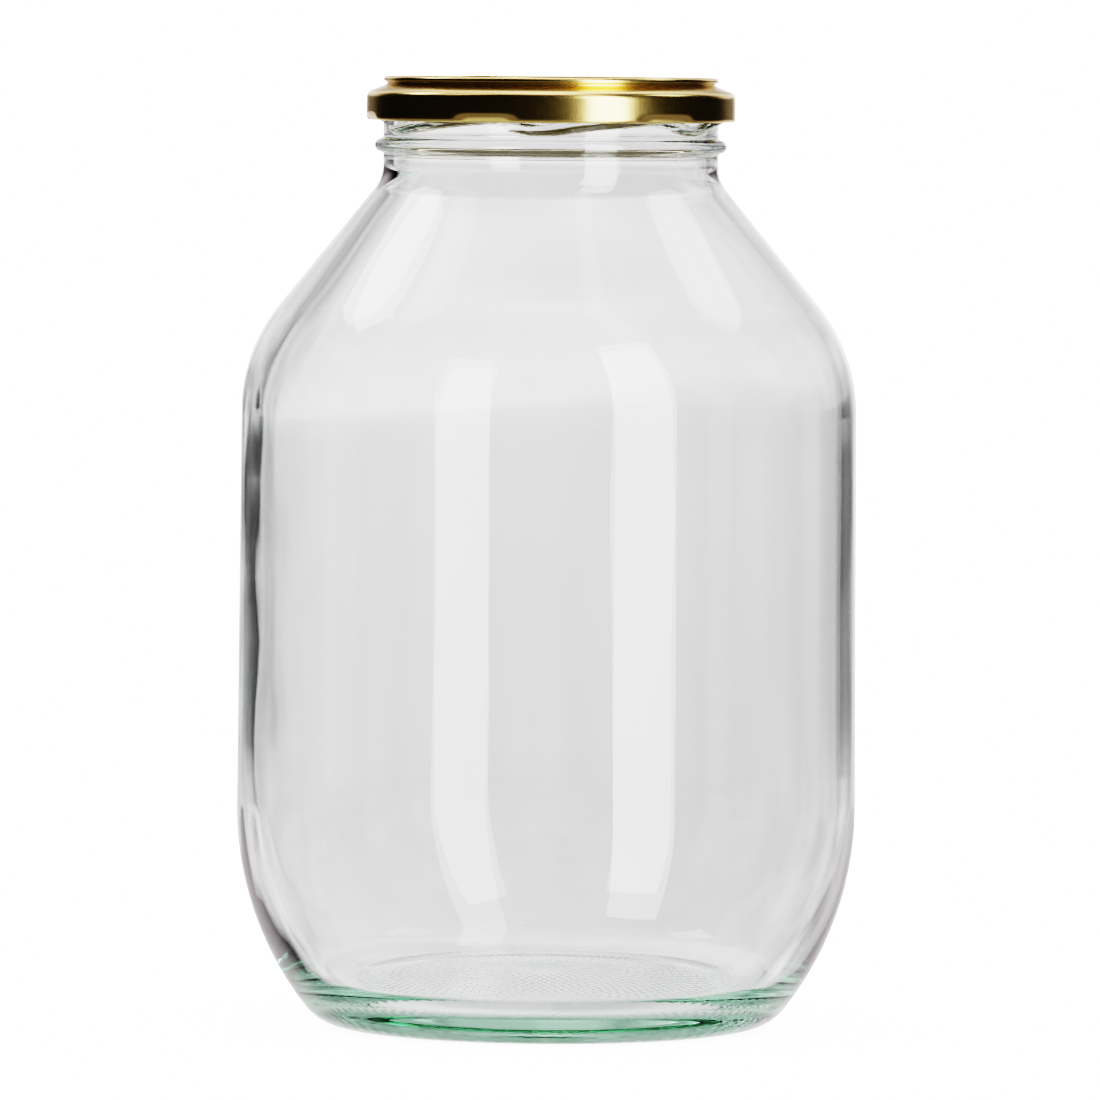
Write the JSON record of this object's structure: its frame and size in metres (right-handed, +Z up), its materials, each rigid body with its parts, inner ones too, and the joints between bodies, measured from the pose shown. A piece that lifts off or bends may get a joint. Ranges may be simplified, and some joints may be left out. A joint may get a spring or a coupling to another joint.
{
  "type": "glass storage jar with lug lid",
  "caption": "Tall round clear glass jar with sloping shoulders, short threaded neck with a bead, push-up base and a one-piece gold metal lug lid with a soft sealing ring.",
  "frame": {"origin": "centre of the ring that the jar stands on, on the surface that it rests on", "axes": "+Z up along the jar's axis of symmetry; -Y is the side from which one lug shows 21 degrees left of the middle"},
  "size_m": [0.1424, 0.1424, 0.2182],
  "materials": {
    "flint_glass": "clear soda-lime glass with a slight green tint, fire-polished",
    "gold_tinplate": "gold-lacquered tinplate, satin with a fine rolling grain",
    "sealing_compound": "matt off-white plastisol"
  },
  "bodies": {
    "jar": {"glass_jar": "flint_glass"},
    "seal": {"gasket": "sealing_compound"},
    "lid": {"lid_shell": "gold_tinplate"}
  },
  "joints": [
    {"name": "lid_lift", "type": "slide", "parent": "jar", "child": "seal", "axis": [0, 0, 1], "range_m": [0, 0.025]},
    {"name": "lid_turn", "type": "hinge", "parent": "seal", "child": "lid", "pos_m": [0, 0, 0.211], "axis": [0, 0, 1], "range_deg": [0, 360]}
  ],
  "couplings": [
    {"joint": "lid_lift", "follows": "lid_turn", "m_per_rad": 0.0039788}
  ]
}
